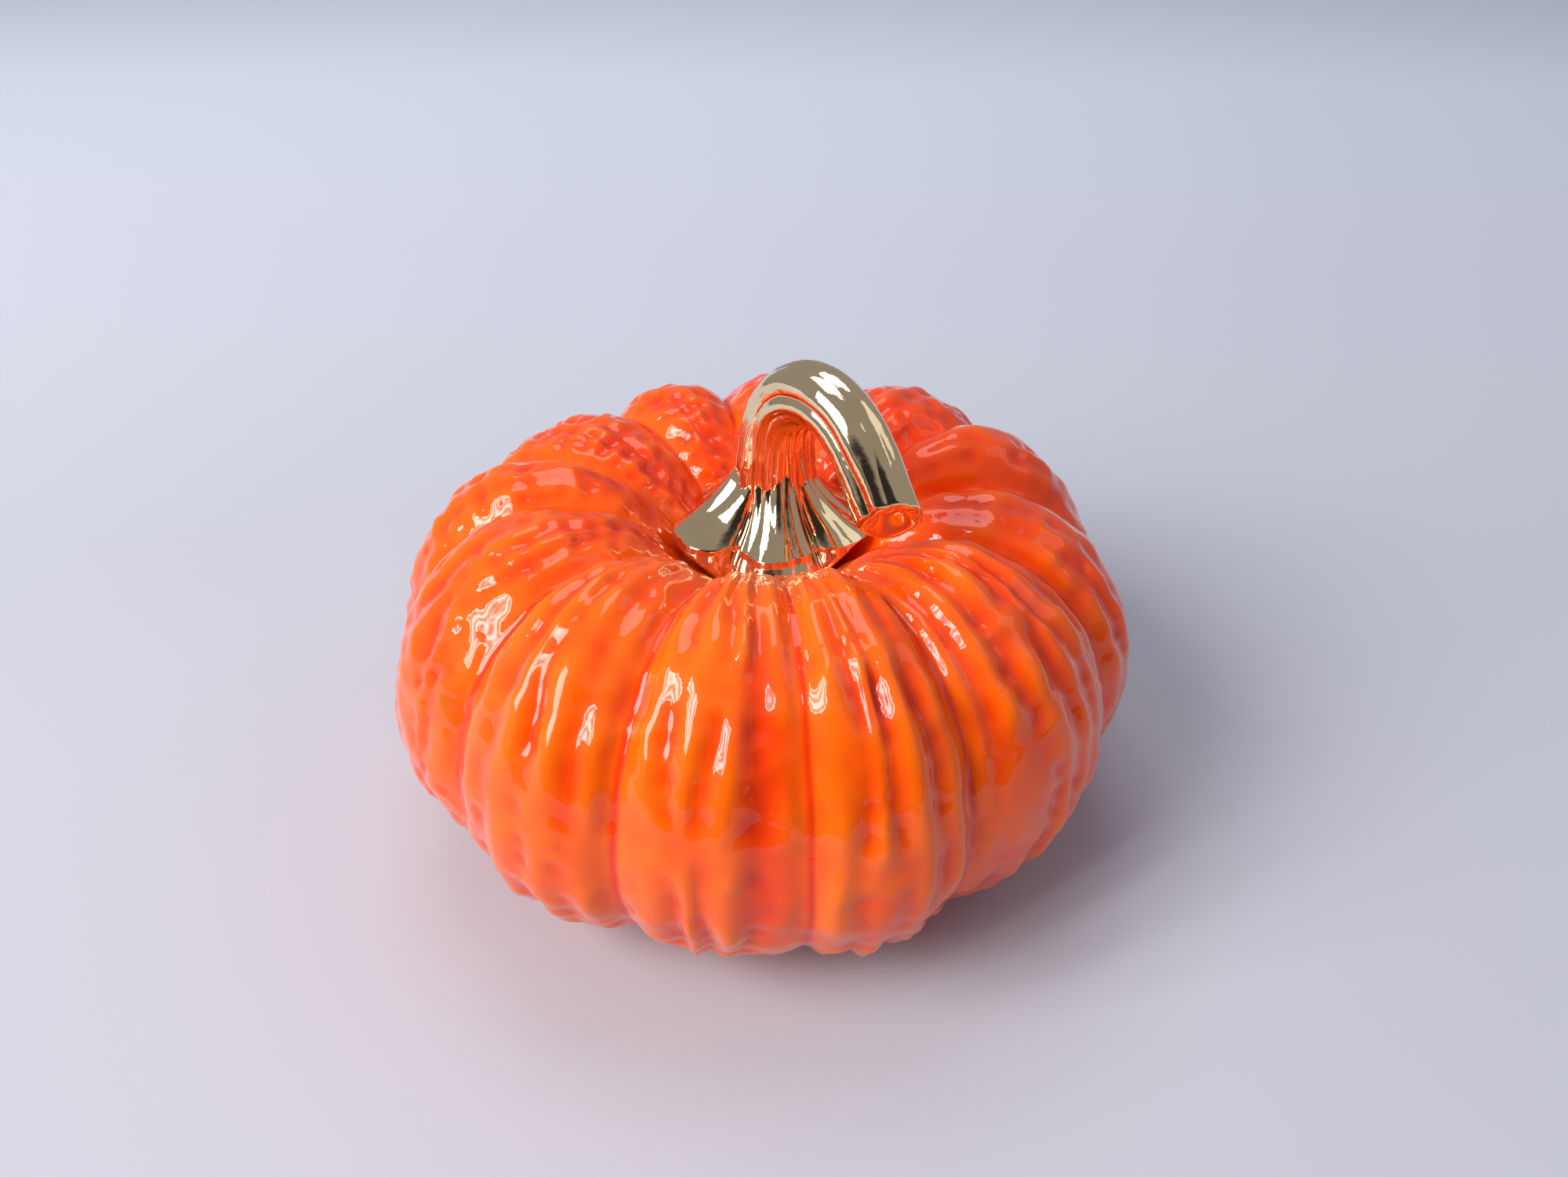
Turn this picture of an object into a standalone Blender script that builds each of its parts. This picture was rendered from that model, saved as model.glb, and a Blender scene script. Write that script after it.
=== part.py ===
"""Ceramic pumpkin figure: a hollow slip-cast shell of twelve lobes with a gold-plated hooked stem
glued into its crater, standing on four felt pads.

Metres, +Z up. The origin is on the table, under the middle of the figure's box. The front, with
the narrow furrow between two small lobes, faces -Y, and the stem's hook leans forwards and to +X.
"""

import math

import bmesh
import bpy
from mathutils import Matrix, Vector

# Driving dimensions
RADIUS = 0.100  # pumpkin's axis to the crest of a nominal lobe at its widest
WALL = 0.0045  # cast wall of the shell
GAP = 0.0003  # left between pieces that touch

# The pumpkin's own axis, off the box's middle because the lobes differ
AXIS = Vector((0.0008, -0.0010, 0.0))

# Each lobe: (width in degrees, reach of its crest, rise of its shoulder), against a nominal lobe,
# anticlockwise seen from above, from the furrow at FIRST_FURROW
FIRST_FURROW = math.radians(69)
LOBES = (
    (32, 1.00, 0.99),
    (28, 0.96, 0.97),
    (34, 1.00, 0.96),
    (24, 1.03, 1.01),
    (33, 1.03, 0.99),
    (29, 1.02, 0.98),
    (27, 0.95, 1.00),
    (24, 0.99, 1.00),
    (40, 0.94, 0.95),
    (27, 1.01, 0.92),
    (26, 1.00, 1.03),
    (36, 1.00, 1.03),
)
LOBE_COLUMNS = 8

# A lobe's meridian is an egg round a ring of this radius and height
RING_RADIUS = 0.56 * RADIUS
RING_HEIGHT = 0.46 * RADIUS
LOBE_DEPTH = RADIUS - RING_RADIUS
CRATER_DEPTH = 0.41 * RADIUS  # the same, on the crater's side of the shoulder
LOBE_RISE = 0.54 * RADIUS
LOBE_DROP = 0.43 * RADIUS
FURROW = 0.805  # a furrow's meridian, as a share of the crest's
ROUNDNESS = 2.2  # of a lobe's cross section, 2 for an ellipse
INSIDE_SWELL = 0.8  # how far the cast inside follows the lobes

# Crater and socket, where the stem is glued in
CRATER_FLOOR = RING_HEIGHT + 0.28 * RADIUS
SOCKET_RADIUS = 0.013

# Underside
PAD_RADIUS = 0.0045
PAD_THICKNESS = 0.0015
PAD_BEVEL = 0.0003
PAD_COUNT = 4
FOOT_OUTER = 0.51 * RADIUS
FOOT_INNER = 0.40 * RADIUS
FOOT_BOTTOM = PAD_THICKNESS + GAP
FOOT_HEIGHT = 0.003
FOOT_CHAMFER = 0.001
BASE_INSIDE = FOOT_BOTTOM + FOOT_HEIGHT + WALL
DRAIN_RADIUS = 0.012

# Stem: five roots, a ribbed trunk and a hook with a slanting, scooped end. It is modelled leaning
# to its own +X. Lengths along it are from the height of its skirt's edge.
STEM_PLACE = Vector((0.025 * RADIUS, 0.0, 0.0))  # from the pumpkin's axis
STEM_LEAN = math.radians(-52)  # the way the hook leans, from +X
RIBS = 5
RIB_COLUMNS = 5
ROOT_ANGLE = math.radians(-38)  # a root's angle from the way the hook leans
RIB_DEPTH = 0.05  # of the ribs above the roots, as a share of the radius
SKIRT_BOTTOM = RING_HEIGHT + 0.40 * RADIUS
SKIRT_EDGE = 0.0012
CREST_RADIUS = 0.255 * RADIUS  # of a root at the skirt
CREASE_RADIUS = 0.21 * RADIUS  # of the skirt between two roots
FLARE_LENGTH = 0.15 * RADIUS
CREST_POWER = 1.4
CREASE_POWER = 3.0
TRUNK_RADIUS = 0.112 * RADIUS
TRUNK_LENGTH = 0.525 * RADIUS
TIP_RADIUS = 0.077 * RADIUS
STEM_LENGTH = 0.885 * RADIUS
BEND_START = 0.165 * RADIUS
BEND_END = 0.765 * RADIUS
END_LEAN = math.radians(143)  # from upright
END_SLANT = Vector((0.42, 0.55))  # slope of the end's face, out from the trunk and sideways
SLANT_FADE = 0.2 * RADIUS
SCOOP_DEPTH = 0.003
SEAT_RADIUS = 0.15 * RADIUS  # the base tapers down into the crater to this
SEAT_BOTTOM = CRATER_FLOOR + 0.0035
SPIGOT_RADIUS = 0.0110
SPIGOT_BOTTOM = CRATER_FLOOR - WALL


def material(name, colour, roughness, metallic=0.0):
    made = bpy.data.materials.new(name)
    made.use_nodes = True
    shader = made.node_tree.nodes["Principled BSDF"]
    shader.inputs["Base Color"].default_value = (*colour, 1.0)
    shader.inputs["Roughness"].default_value = roughness
    shader.inputs["Metallic"].default_value = metallic
    return made


def add_object(name, mesh, finish):
    data = bpy.data.meshes.new(name)
    mesh.to_mesh(data)
    mesh.free()
    data.materials.append(finish)
    data.shade_smooth()
    data.set_sharp_from_angle(angle=math.radians(50))
    made = bpy.data.objects.new(name, data)
    made.location = AXIS
    bpy.context.scene.collection.objects.link(made)
    return made


def skin(rings, loops_back=False):
    """A solid skinned over rings of equal length, its ends filled unless it loops back on itself."""
    mesh = bmesh.new()
    rows = [[mesh.verts.new(point) for point in ring] for ring in rings]
    pairs = list(zip(rows, rows[1:]))
    if loops_back:
        pairs.append((rows[-1], rows[0]))
    else:
        mesh.faces.new(rows[0])
        mesh.faces.new(rows[-1])
    for low, high in pairs:
        for k in range(len(low)):
            after = (k + 1) % len(low)
            mesh.faces.new((low[k], low[after], high[after], high[k]))
    bmesh.ops.recalc_face_normals(mesh, faces=mesh.faces)
    return mesh


def polar(angle, radius, height):
    return Vector((radius * math.cos(angle), radius * math.sin(angle), height))


def lobe_columns():
    """(angle, place across the lobe from -1 to 1, reach, rise) of each column round the pumpkin."""
    columns = []
    start = FIRST_FURROW
    for i, (width, reach, rise) in enumerate(LOBES):
        for k in range(LOBE_COLUMNS):
            across = -math.cos(math.pi * k / LOBE_COLUMNS)
            _, next_reach, next_rise = LOBES[(i + (1 if across > 0 else -1)) % len(LOBES)]
            share = abs(across) ** 3 / 2  # half and half at the furrow
            columns.append(
                (
                    start + math.radians(width) * (across + 1) / 2,
                    across,
                    reach + (next_reach - reach) * share,
                    rise + (next_rise - rise) * share,
                )
            )
        start += math.radians(width)
    return columns


def meridian_point(column, turn, swell, wall):
    """A point of a lobe, wall deep. turn is 0 at the widest part and 90 degrees at the shoulder."""
    angle, _, reach, rise = column
    size = FURROW + (1 - FURROW) * swell
    height = LOBE_RISE * rise if turn > 0 else LOBE_DROP
    depth = CRATER_DEPTH if turn > math.pi / 2 else LOBE_DEPTH
    return polar(
        angle,
        RING_RADIUS + (depth * size * reach - wall) * math.cos(turn),
        RING_HEIGHT + (height * size - wall) * math.sin(turn),
    )


def outer_point(column, turn):
    swell = math.sqrt(max(0.0, 1 - abs(column[1]) ** ROUNDNESS))
    return meridian_point(column, turn, swell, 0.0)


def inner_point(column, turn):
    swell = INSIDE_SWELL * (1 - column[1] ** 2)
    return meridian_point(column, turn, swell, WALL)


def turn_down_to(height, column, point_at):
    """The turn at which a column has come over the shoulder and down into the crater to a height."""
    low, high = math.pi / 2, math.pi
    for _ in range(30):
        middle = (low + high) / 2
        if point_at(column, middle).z > height:
            low = middle
        else:
            high = middle
    return low


def lobe_rings(columns, point_at, floor, count):
    """Rings from the floor of the crater over the shoulder to the underside."""
    tops = [turn_down_to(floor, column, point_at) for column in columns]
    bottom = -math.pi / 2
    rings = []
    for row in range(count):
        share = row / (count - 1)
        rings.append(
            [point_at(column, top + (bottom - top) * share) for column, top in zip(columns, tops)]
        )
    return rings


def build_body(finish):
    columns = lobe_columns()

    def level(radius, height, place=Vector()):
        return [place + polar(column[0], radius, height) for column in columns]

    inside_floor = CRATER_FLOOR - WALL
    rings = [level(SOCKET_RADIUS, CRATER_FLOOR, STEM_PLACE)]
    rings += lobe_rings(columns, outer_point, CRATER_FLOOR, 18)
    rings += [
        level(FOOT_OUTER, FOOT_BOTTOM + FOOT_CHAMFER),
        level(FOOT_OUTER - FOOT_CHAMFER, FOOT_BOTTOM),
        level(FOOT_INNER + FOOT_CHAMFER, FOOT_BOTTOM),
        level(FOOT_INNER, FOOT_BOTTOM + FOOT_HEIGHT),
        level(DRAIN_RADIUS, FOOT_BOTTOM + FOOT_HEIGHT),
        level(DRAIN_RADIUS, BASE_INSIDE),
        level(FOOT_OUTER - WALL, BASE_INSIDE),
    ]
    rings += reversed(lobe_rings(columns, inner_point, inside_floor, 9))
    rings.append(level(SOCKET_RADIUS, inside_floor, STEM_PLACE))
    return add_object("pumpkin_body", skin(rings, loops_back=True), finish)


def stem_lean(along):
    """The stem's lean from upright: none up the trunk, then easing into the hook and out of it."""
    return END_LEAN * smooth((along - BEND_START) / (BEND_END - BEND_START))


def stem_middle(along):
    point = Vector((0, 0, SKIRT_BOTTOM))
    steps = 60
    for k in range(steps):
        lean = stem_lean(along * (k + 0.5) / steps)
        point += Vector((math.sin(lean), 0, math.cos(lean))) * along / steps
    return point


def smooth(share):
    share = min(1.0, max(0.0, share))
    return share * share * (3 - 2 * share)


def trunk_radius(along):
    """The radius under the flare, tapering up the trunk and even along the hook."""
    return TRUNK_RADIUS + (TIP_RADIUS - TRUNK_RADIUS) * smooth(along / TRUNK_LENGTH)


def stem_size(along):
    """(mean radius, height of the ribs as a share of it), with the roots' crests standing out."""
    left = min(1.0, max(0.0, 1 - (along - SKIRT_EDGE) / FLARE_LENGTH))
    crest = trunk_radius(along) + (CREST_RADIUS - TRUNK_RADIUS) * left**CREST_POWER
    crease = trunk_radius(along) + (CREASE_RADIUS - TRUNK_RADIUS) * left**CREASE_POWER
    return (crest + crease) / 2, (crest - crease) / (crest + crease) + RIB_DEPTH * (1 - left)


def stem_ring(along, radius, depth, slant=0.0):
    """A ring across the stem, with ribs of a depth given as a share of its radius."""
    middle, lean = stem_middle(along), stem_lean(along)
    forwards = Vector((math.sin(lean), 0, math.cos(lean)))
    outwards = Vector((math.cos(lean), 0, -math.sin(lean)))
    ring = []
    for k in range(RIBS * RIB_COLUMNS):
        turn = 2 * math.pi * k / (RIBS * RIB_COLUMNS)
        reach = radius * (1 + depth * math.cos(RIBS * turn))
        out = reach * math.cos(turn + ROOT_ANGLE)
        aside = reach * math.sin(turn + ROOT_ANGLE)
        shift = slant * (END_SLANT.x * out + END_SLANT.y * aside)
        ring.append(middle + out * outwards + Vector((0, aside, 0)) + shift * forwards)
    return ring


def build_stem(finish):
    rings = []
    rows = 28
    for row in range(rows + 1):
        along = SKIRT_EDGE + (STEM_LENGTH - SKIRT_EDGE) * (row / rows) ** 1.3
        slant = max(0.0, 1 - (STEM_LENGTH - along) / SLANT_FADE)
        rings.append(stem_ring(along, *stem_size(along), slant))
    rings += [
        stem_ring(STEM_LENGTH, TIP_RADIUS * 0.8, RIB_DEPTH, 1.0),
        stem_ring(STEM_LENGTH - SCOOP_DEPTH, TIP_RADIUS * 0.45, RIB_DEPTH, 1.0),
    ]
    rings.reverse()

    def level(radius, height, depth=0.0):
        return [Vector((p.x, p.y, height)) for p in stem_ring(0.0, radius, depth)]

    skirt_radius, skirt_depth = stem_size(SKIRT_EDGE)
    rings += [
        level(skirt_radius - SKIRT_EDGE, SKIRT_BOTTOM, skirt_depth),
        level(SEAT_RADIUS, SEAT_BOTTOM),
        level(SPIGOT_RADIUS, SEAT_BOTTOM),
        level(SPIGOT_RADIUS, SPIGOT_BOTTOM),
    ]
    stem = add_object("stem", skin(rings), finish)
    stem.location = AXIS + STEM_PLACE
    stem.rotation_euler.z = STEM_LEAN
    return stem


def build_adhesive(finish):
    """Epoxy round the spigot: a sleeve in the socket and a bead just above the crater's floor."""
    bead = 0.0012
    inner = SPIGOT_RADIUS + GAP
    outer = SOCKET_RADIUS - GAP
    top = CRATER_FLOOR + 2 * bead
    profile = (
        (inner, SPIGOT_BOTTOM + bead),
        (outer, SPIGOT_BOTTOM + bead),
        (outer, top - bead),
        (inner + GAP, top),
        (inner, top),
    )
    steps = 40
    rings = [
        [polar(2 * math.pi * k / steps, radius, height) for k in range(steps)]
        for radius, height in profile
    ]
    ring = add_object("stem_adhesive", skin(rings, loops_back=True), finish)
    ring.location = AXIS + STEM_PLACE
    return ring


def build_pads(finish):
    for k in range(PAD_COUNT):
        mesh = bmesh.new()
        bmesh.ops.create_cone(
            mesh,
            cap_ends=True,
            segments=24,
            radius1=PAD_RADIUS,
            radius2=PAD_RADIUS,
            depth=PAD_THICKNESS,
            matrix=Matrix.Translation((0, 0, PAD_THICKNESS / 2)),
        )
        pad = add_object(f"felt_pad_{k + 1}", mesh, finish)
        angle = math.tau * (k + 0.5) / PAD_COUNT
        pad.location = AXIS + polar(angle, (FOOT_OUTER + FOOT_INNER) / 2, 0)
        edge = pad.modifiers.new("edge", "BEVEL")
        edge.width = PAD_BEVEL
        edge.segments = 1


def main():
    for old in list(bpy.data.objects):
        bpy.data.objects.remove(old)
    build_body(material("orange_glaze", (0.85, 0.16, 0.01), 0.12))
    build_stem(material("gold_plating", (0.83, 0.73, 0.48), 0.08, metallic=1.0))
    build_adhesive(material("epoxy", (0.80, 0.74, 0.58), 0.35))
    build_pads(material("felt", (0.55, 0.50, 0.44), 0.95))


main()
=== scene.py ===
"""Looks of the ceramic pumpkin figure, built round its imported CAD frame.

The body and the stem are fine meshes close to the CAD's own curves, with the flutes, dimples and
glaze pools that the CAD leaves out. Metres, in the CAD's frame: the front faces -Y and +Z is up.
"""

import math
from collections import namedtuple

import bpy
import numpy as np
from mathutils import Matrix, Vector, noise


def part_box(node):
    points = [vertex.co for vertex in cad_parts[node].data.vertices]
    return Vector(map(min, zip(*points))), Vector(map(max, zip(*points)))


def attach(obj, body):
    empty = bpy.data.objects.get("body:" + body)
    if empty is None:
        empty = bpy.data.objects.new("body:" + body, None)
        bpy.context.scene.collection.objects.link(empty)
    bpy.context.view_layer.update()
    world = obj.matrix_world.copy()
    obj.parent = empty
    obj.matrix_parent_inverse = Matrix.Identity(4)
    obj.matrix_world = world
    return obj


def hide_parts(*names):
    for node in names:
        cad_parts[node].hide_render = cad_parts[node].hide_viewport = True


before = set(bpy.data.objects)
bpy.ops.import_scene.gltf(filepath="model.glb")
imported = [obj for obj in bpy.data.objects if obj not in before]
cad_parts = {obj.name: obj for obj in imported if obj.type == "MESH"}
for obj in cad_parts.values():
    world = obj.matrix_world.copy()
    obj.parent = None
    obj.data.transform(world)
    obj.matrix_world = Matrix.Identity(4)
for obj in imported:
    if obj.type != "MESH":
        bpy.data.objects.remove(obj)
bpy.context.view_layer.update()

TAU = math.tau
MM = 0.001

# The frame's own measures: the body's box in X and the axis's place from its low corner are
# given in radii of a nominal lobe's crest
BODY_WIDTH = 2.0026
AXIS_FROM_LOW = (1.0072, 0.9704)
BODY_LOW, BODY_HIGH = (np.array(corner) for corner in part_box("pumpkin_body"))
RADIUS = (BODY_HIGH[0] - BODY_LOW[0]) / BODY_WIDTH
AXIS = np.array([*(BODY_LOW[:2] + RADIUS * np.array(AXIS_FROM_LOW)), 0.0])

# Each lobe, anticlockwise from above from FIRST_FURROW: width in degrees, reach of its crest and
# rise of its shoulder against a nominal lobe, how strongly it is fluted and dimpled, and its
# first furrow's meridian as a share of the crest's
FIRST_FURROW = math.radians(69)
Lobe = namedtuple("Lobe", "width reach rise fluting dimpling furrow")
LOBES = (
    Lobe(32, 1.00, 0.99, 0.20, 1.20, 0.80),
    Lobe(28, 0.96, 0.97, 0.20, 1.20, 0.79),
    Lobe(34, 1.00, 0.96, 0.30, 1.15, 0.80),
    Lobe(24, 1.03, 1.01, 0.35, 1.00, 0.80),
    Lobe(33, 1.03, 0.99, 0.55, 0.80, 0.82),
    Lobe(29, 1.02, 0.98, 0.75, 0.65, 0.84),
    Lobe(27, 0.95, 1.00, 0.95, 0.55, 0.84),
    Lobe(24, 0.99, 1.00, 0.95, 0.50, 0.91),
    Lobe(40, 0.94, 0.95, 0.75, 0.70, 0.85),
    Lobe(27, 1.01, 0.92, 0.60, 0.65, 0.81),
    Lobe(26, 1.00, 1.03, 0.60, 0.60, 0.80),
    Lobe(36, 1.00, 1.03, 0.35, 1.10, 0.80),
)
FRONT_LOBE = 6  # the lobe left of the front furrow, with the wide hollow

# The body's meridian, close to the CAD's
RING_RADIUS = 0.56 * RADIUS
RING_HEIGHT = 0.46 * RADIUS
LOBE_DEPTH = RADIUS - RING_RADIUS
LOBE_RISE = 0.54 * RADIUS
LOBE_DROP = 0.43 * RADIUS
CRATER_DEPTH = 0.41 * RADIUS  # a lobe's depth on the crater's side of its shoulder
CRATER_EVENING = -1.2  # power of its rise by which a low lobe reaches further into the crater
CRATER_FILL = 0.6  # how far the furrows fill up on the way into the crater
FILL_START = math.radians(98)
FILL_LENGTH = math.radians(42)
ROUNDNESS = 2.3  # power that shapes a lobe's section: higher is flatter at the crest
SOFTNESS = 0.6  # power that shapes it at the furrows: lower is steeper there
INSIDE_FURROW = 0.805
INSIDE_SWELL = 0.8
WALL = 4.5 * MM
CRATER_FLOOR = RING_HEIGHT + 0.28 * RADIUS
SOCKET_RADIUS = 13 * MM
FOOT_OUTER = 0.51 * RADIUS
FOOT_INNER = 0.40 * RADIUS
FOOT_BOTTOM = 1.8 * MM
FOOT_HEIGHT = 3 * MM
FOOT_CHAMFER = 1 * MM
BASE_INSIDE = FOOT_BOTTOM + FOOT_HEIGHT + WALL
DRAIN_RADIUS = 12 * MM

# The body's mesh
BODY_COLUMNS = 560
BODY_ROWS = 150
INSIDE_ROWS = 8
FURROW_CROWDING = 0.6  # how much closer together the columns stand at the furrows
FURROW_ROUNDING = 5  # passes of averaging across the furrows
ROUNDING_REACH = 4  # columns away, where the weight of a neighbour falls to nothing

# Its hand-made marks. Turns are in radians and places across a lobe run from -1 to 1.
CRATER_FADE = 0.08  # share of the rows over which the marks fade in from the crater's floor
FOOT_FADE = 0.07  # and out to the foot
FLUTE_WIDTH = math.radians(6.8)
FLUTE_DEPTH = 1.05 * MM
FLUTE_CALM_START = math.radians(75)  # where the flutes start to calm down towards the crater
FLUTE_CALM_LENGTH = math.radians(50)
FLUTE_CALM = 0.7
PATCH_SIZE = 17 * MM  # of the patches where the flutes are cut deeper or shallower
PATCH_MIDDLE, PATCH_SWING = 0.6, 1.3
PATCH_LIMITS = (0.05, 1.5)
GROOVE_UNEVENNESS = 0.27
GROOVE_SWAY = 0.10
GROOVE_BENDS = ((1.0, 1.7), (0.4, 4.6), (0.22, 11))  # height and rate of each wave
DIMPLE_TOP = math.radians(138)
DIMPLE_BOTTOM = math.radians(-72)
DIMPLE_PITCH = math.radians(8.0)
DIMPLE_RADIUS = 3.2 * MM
DIMPLE_DEPTH = 0.85 * MM
DIMPLE_STEEPNESS = 1.7
DIMPLE_POWER = 2.4  # above 2, a dimple has a flatter floor
DIMPLE_SIZES = (0.7, 1.25)
DIMPLE_DEPTHS = (0.5, 1.25)
DIMPLE_STEPS = (0.8, 1.2)
DIMPLE_STRAY = 0.035
MANY_DIMPLES = 0.7  # above this a lobe has dimples on its ridges too
HOLLOW_DEPTH = 1.3 * MM
HOLLOW_PLACE = 0.55
HOLLOW_WIDTH = 0.24
HOLLOW_LOW, HOLLOW_HIGH = -0.6, 1.5  # between these turns
HOLLOW_FADE = 0.5
CREASE_HEIGHT = 0.35 * MM
CREASE_RATE = 38
CREASE_SWAY = 6
CREASE_SWAY_SIZE = 26 * MM
CREASE_TOP = -0.25  # the creases are below this turn
CREASE_FADE = 0.5
HAMMERED_HEIGHT = 0.75 * MM
HAMMERED_SIZE = 9.5 * MM
FINE_HAMMERED_SIZE = 5 * MM
BROAD_HEIGHT = 0.8 * MM
BROAD_SIZE = 24 * MM

# How thick the glaze pools, from 0 to 1: on a plain wall, what each mark adds at its full height,
# the painted shade on the +X side, and the line along each furrow
PLAIN_POOL = 0.38
FLUTE_POOL = -0.20
DIMPLE_POOL = 0.20
HOLLOW_POOL = 0.35
HAMMERED_POOL = -0.18
# painted shade: darker, redder glaze on the +X side, the side away from the key light
SHADED_SIDE_POOL = 0.20
SHADED_SIDE = math.radians(10)
MARK_POOL_LIMIT = 0.85
STRIP_POOL = 0.85
STRIP_WIDTH = 0.065
STRIP_SWELL = 0.06  # how much wider it gets low in the front furrow
SWELL_TOP, SWELL_BOTTOM = 0.3, -1.3  # between these turns
SWELL_FADE, SWELL_END = 1.2, 0.4
SOCKET_POOL = 0.4  # at the socket, out of sight

# The stem, close to the CAD's: it leans to its own +X
STEM_SHIFT = 0.025 * RADIUS  # from the body's axis towards +X
STEM_PLACE = AXIS + np.array((STEM_SHIFT, 0.0, 0.0))
STEM_LEAN = math.radians(-52)
ROOT_ANGLE = math.radians(-38)
ROOT_REACH = (0.68, 0.88, 0.97, 1.0, 1.03)  # how far each root spreads, from the front one on
ROOT_FLATNESS = 2.2  # powers that shape a root's section at its crest and its creases
ROOT_SOFTNESS = 0.8
SKIRT_BOTTOM = RING_HEIGHT + 0.392 * RADIUS
SKIRT_EDGE = 1.2 * MM
CREST_RADIUS = 0.268 * RADIUS  # of a root at the skirt
CREASE_RADIUS = 0.16 * RADIUS  # of the skirt between two roots
FLARE_LENGTH = 0.155 * RADIUS
FLARE_UNEVENNESS = ((0.10, 3, 0.6), (0.08, 8, 0.0))
CREST_POWER = 1.5
CREASE_POWER = 3.0
TRUNK_RADIUS = 0.112 * RADIUS
TRUNK_LENGTH = 0.533 * RADIUS
TIP_RADIUS = 0.077 * RADIUS
RIDGE = 1.04  # radius of the trunk between its grooves, as a share of the plain one
GROOVE_POWER = 1.6
STEM_LENGTH = 0.883 * RADIUS
BEND_START = 0.173 * RADIUS
BEND_END = 0.773 * RADIUS
LEAN_STEPS = 60
END_LEAN = math.radians(143)
END_SLANT = (0.36, 0.42)  # rise of the cut across the hook, outwards and sideways
SLANT_FADE = 0.2 * RADIUS
END_ROUNDING = 1.2 * MM
RIM_SCALE = 0.87
END_HOLLOW = 3.4 * MM
SKIRT_SLOPE = 0.7  # how fast the roots still spread below the skirt's edge
SKIRT_GAP = 2.0 * MM  # between them and the crater's wall
SEAT_BOTTOM = CRATER_FLOOR + 3.5 * MM
SPIGOT_BOTTOM = CRATER_FLOOR - WALL
SPIGOT_RADIUS = 11 * MM
PINHOLE = 0.1 * MM  # radius of the ring that ends the spigot
STEM_ROWS = 230
STEM_COLUMNS = 200
STEM_LUMP_SIZE = 9 * MM
STEM_PIT_SIZE = 4 * MM
STEM_CROWDING = 1.25  # above 1, its rows stand closer together at the skirt
SEAT_ROWS = 12
END_ROWS = 12

NOISE_STEPS = (17.3, 5.1, 9.7)  # how far apart two seeds of noise lie

# The epoxy
EPOXY_COLUMNS = 72
EPOXY_GAP = 0.3 * MM
EPOXY_BEAD = 2.4 * MM
EPOXY_UNEVENNESS = ((0.15 * MM, 5, 0.7), (0.1 * MM, 11, 0.0))

# The felt pads, with their section as shares of the radius and the thickness
PAD_COLUMNS = 64
PAD_PROFILE = (
    (0.01, 0),
    (0.5, 0),
    (0.93, 0),
    (0.985, 0.12),
    (1, 0.35),
    (1, 0.7),
    (0.98, 0.92),
    (0.94, 1),
    (0.5, 1),
    (0.01, 1),
)
PAD_EDGE = 0.95  # beyond this share of the radius the felt is frayed
PAD_FRAY = 0.012

# Camera, stage and lights
CAMERA_SENSOR = 36.0
CAMERA_LENS = 28.26
CAMERA_ELEVATION = math.radians(37.02)
CAMERA_DISTANCE = 3.4975 * RADIUS
CAMERA_ROTATION = [math.radians(angle) for angle in (55.381, -0.518, -0.688)]
FLOOR_REACH = 6.0
TABLE_EDGE = -3.4 * RADIUS
DARK_SIDE = (-0.84, -0.66)  # of the room, in Y of the direction
PANE_CONTRAST = 0.75
LIGHTS = {
    "key": {
        "azimuth": -60,
        "elevation": 38,
        "distance": 1.9,
        "size": 1.10,
        "energy": 42.0,
        "colour": (1.0, 0.985, 0.96),
        "panes": 3,
    },
    "fill": {
        "azimuth": 98,
        "elevation": 43,
        "distance": 2.0,
        "size": 1.0,
        "energy": 2.0,
        "colour": (0.97, 0.98, 1.0),
    },
    "back": {
        "azimuth": -165,
        "elevation": 68,
        "distance": 2.0,
        "size": 1.1,
        "energy": 10.0,
        "colour": (0.96, 0.97, 1.0),
    },
}

random = np.random.default_rng(12)


def smooth(share):
    """0 to 1, eased, as the share goes from 0 to 1."""
    share = np.clip(share, 0.0, 1.0)
    return share * share * (3 - 2 * share)


def waves(place, terms):
    """The sum of sine waves, each given as (height, rate, phase)."""
    return sum(height * np.sin(rate * place + phase) for height, rate, phase in terms)


def set_up_camera():
    """Looks down from the front at the photograph's angle, aimed a little right of the axis."""
    data = bpy.data.cameras.new("camera")
    data.sensor_width = CAMERA_SENSOR
    data.lens = CAMERA_LENS
    camera = bpy.data.objects.new("camera", data)
    camera.location = (
        AXIS[0],
        AXIS[1] - CAMERA_DISTANCE * math.cos(CAMERA_ELEVATION),
        RING_HEIGHT + CAMERA_DISTANCE * math.sin(CAMERA_ELEVATION),
    )
    camera.rotation_euler = CAMERA_ROTATION
    bpy.context.scene.collection.objects.link(camera)
    bpy.context.scene.camera = camera


# Meshes


def ring_mesh(name, rings, closed=False):
    """A mesh skinned over rings of equal length, with capped ends unless the rings loop back."""
    rings = np.array(rings)
    rows, columns = rings.shape[:2]
    index = np.arange(rows * columns).reshape(rows, columns)
    low = index if closed else index[:-1]
    high = np.roll(index, -1, axis=0) if closed else index[1:]
    faces = np.stack([low, np.roll(low, -1, axis=1), np.roll(high, -1, axis=1), high], axis=-1)
    faces = faces.reshape(-1, 4).tolist()
    if not closed:
        faces += [index[0, ::-1].tolist(), index[-1].tolist()]
    mesh = bpy.data.meshes.new(name)
    mesh.from_pydata(rings.reshape(-1, 3).tolist(), [], faces)
    mesh.shade_smooth()
    return mesh


def add_piece(name, mesh, finishes, node):
    """A visible piece that rides the root body in place of a CAD node."""
    for finish in finishes:
        mesh.materials.append(finish)
    piece = bpy.data.objects.new(name, mesh)
    bpy.context.scene.collection.objects.link(piece)
    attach(piece, "root")
    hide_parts(node)
    return piece


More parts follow.
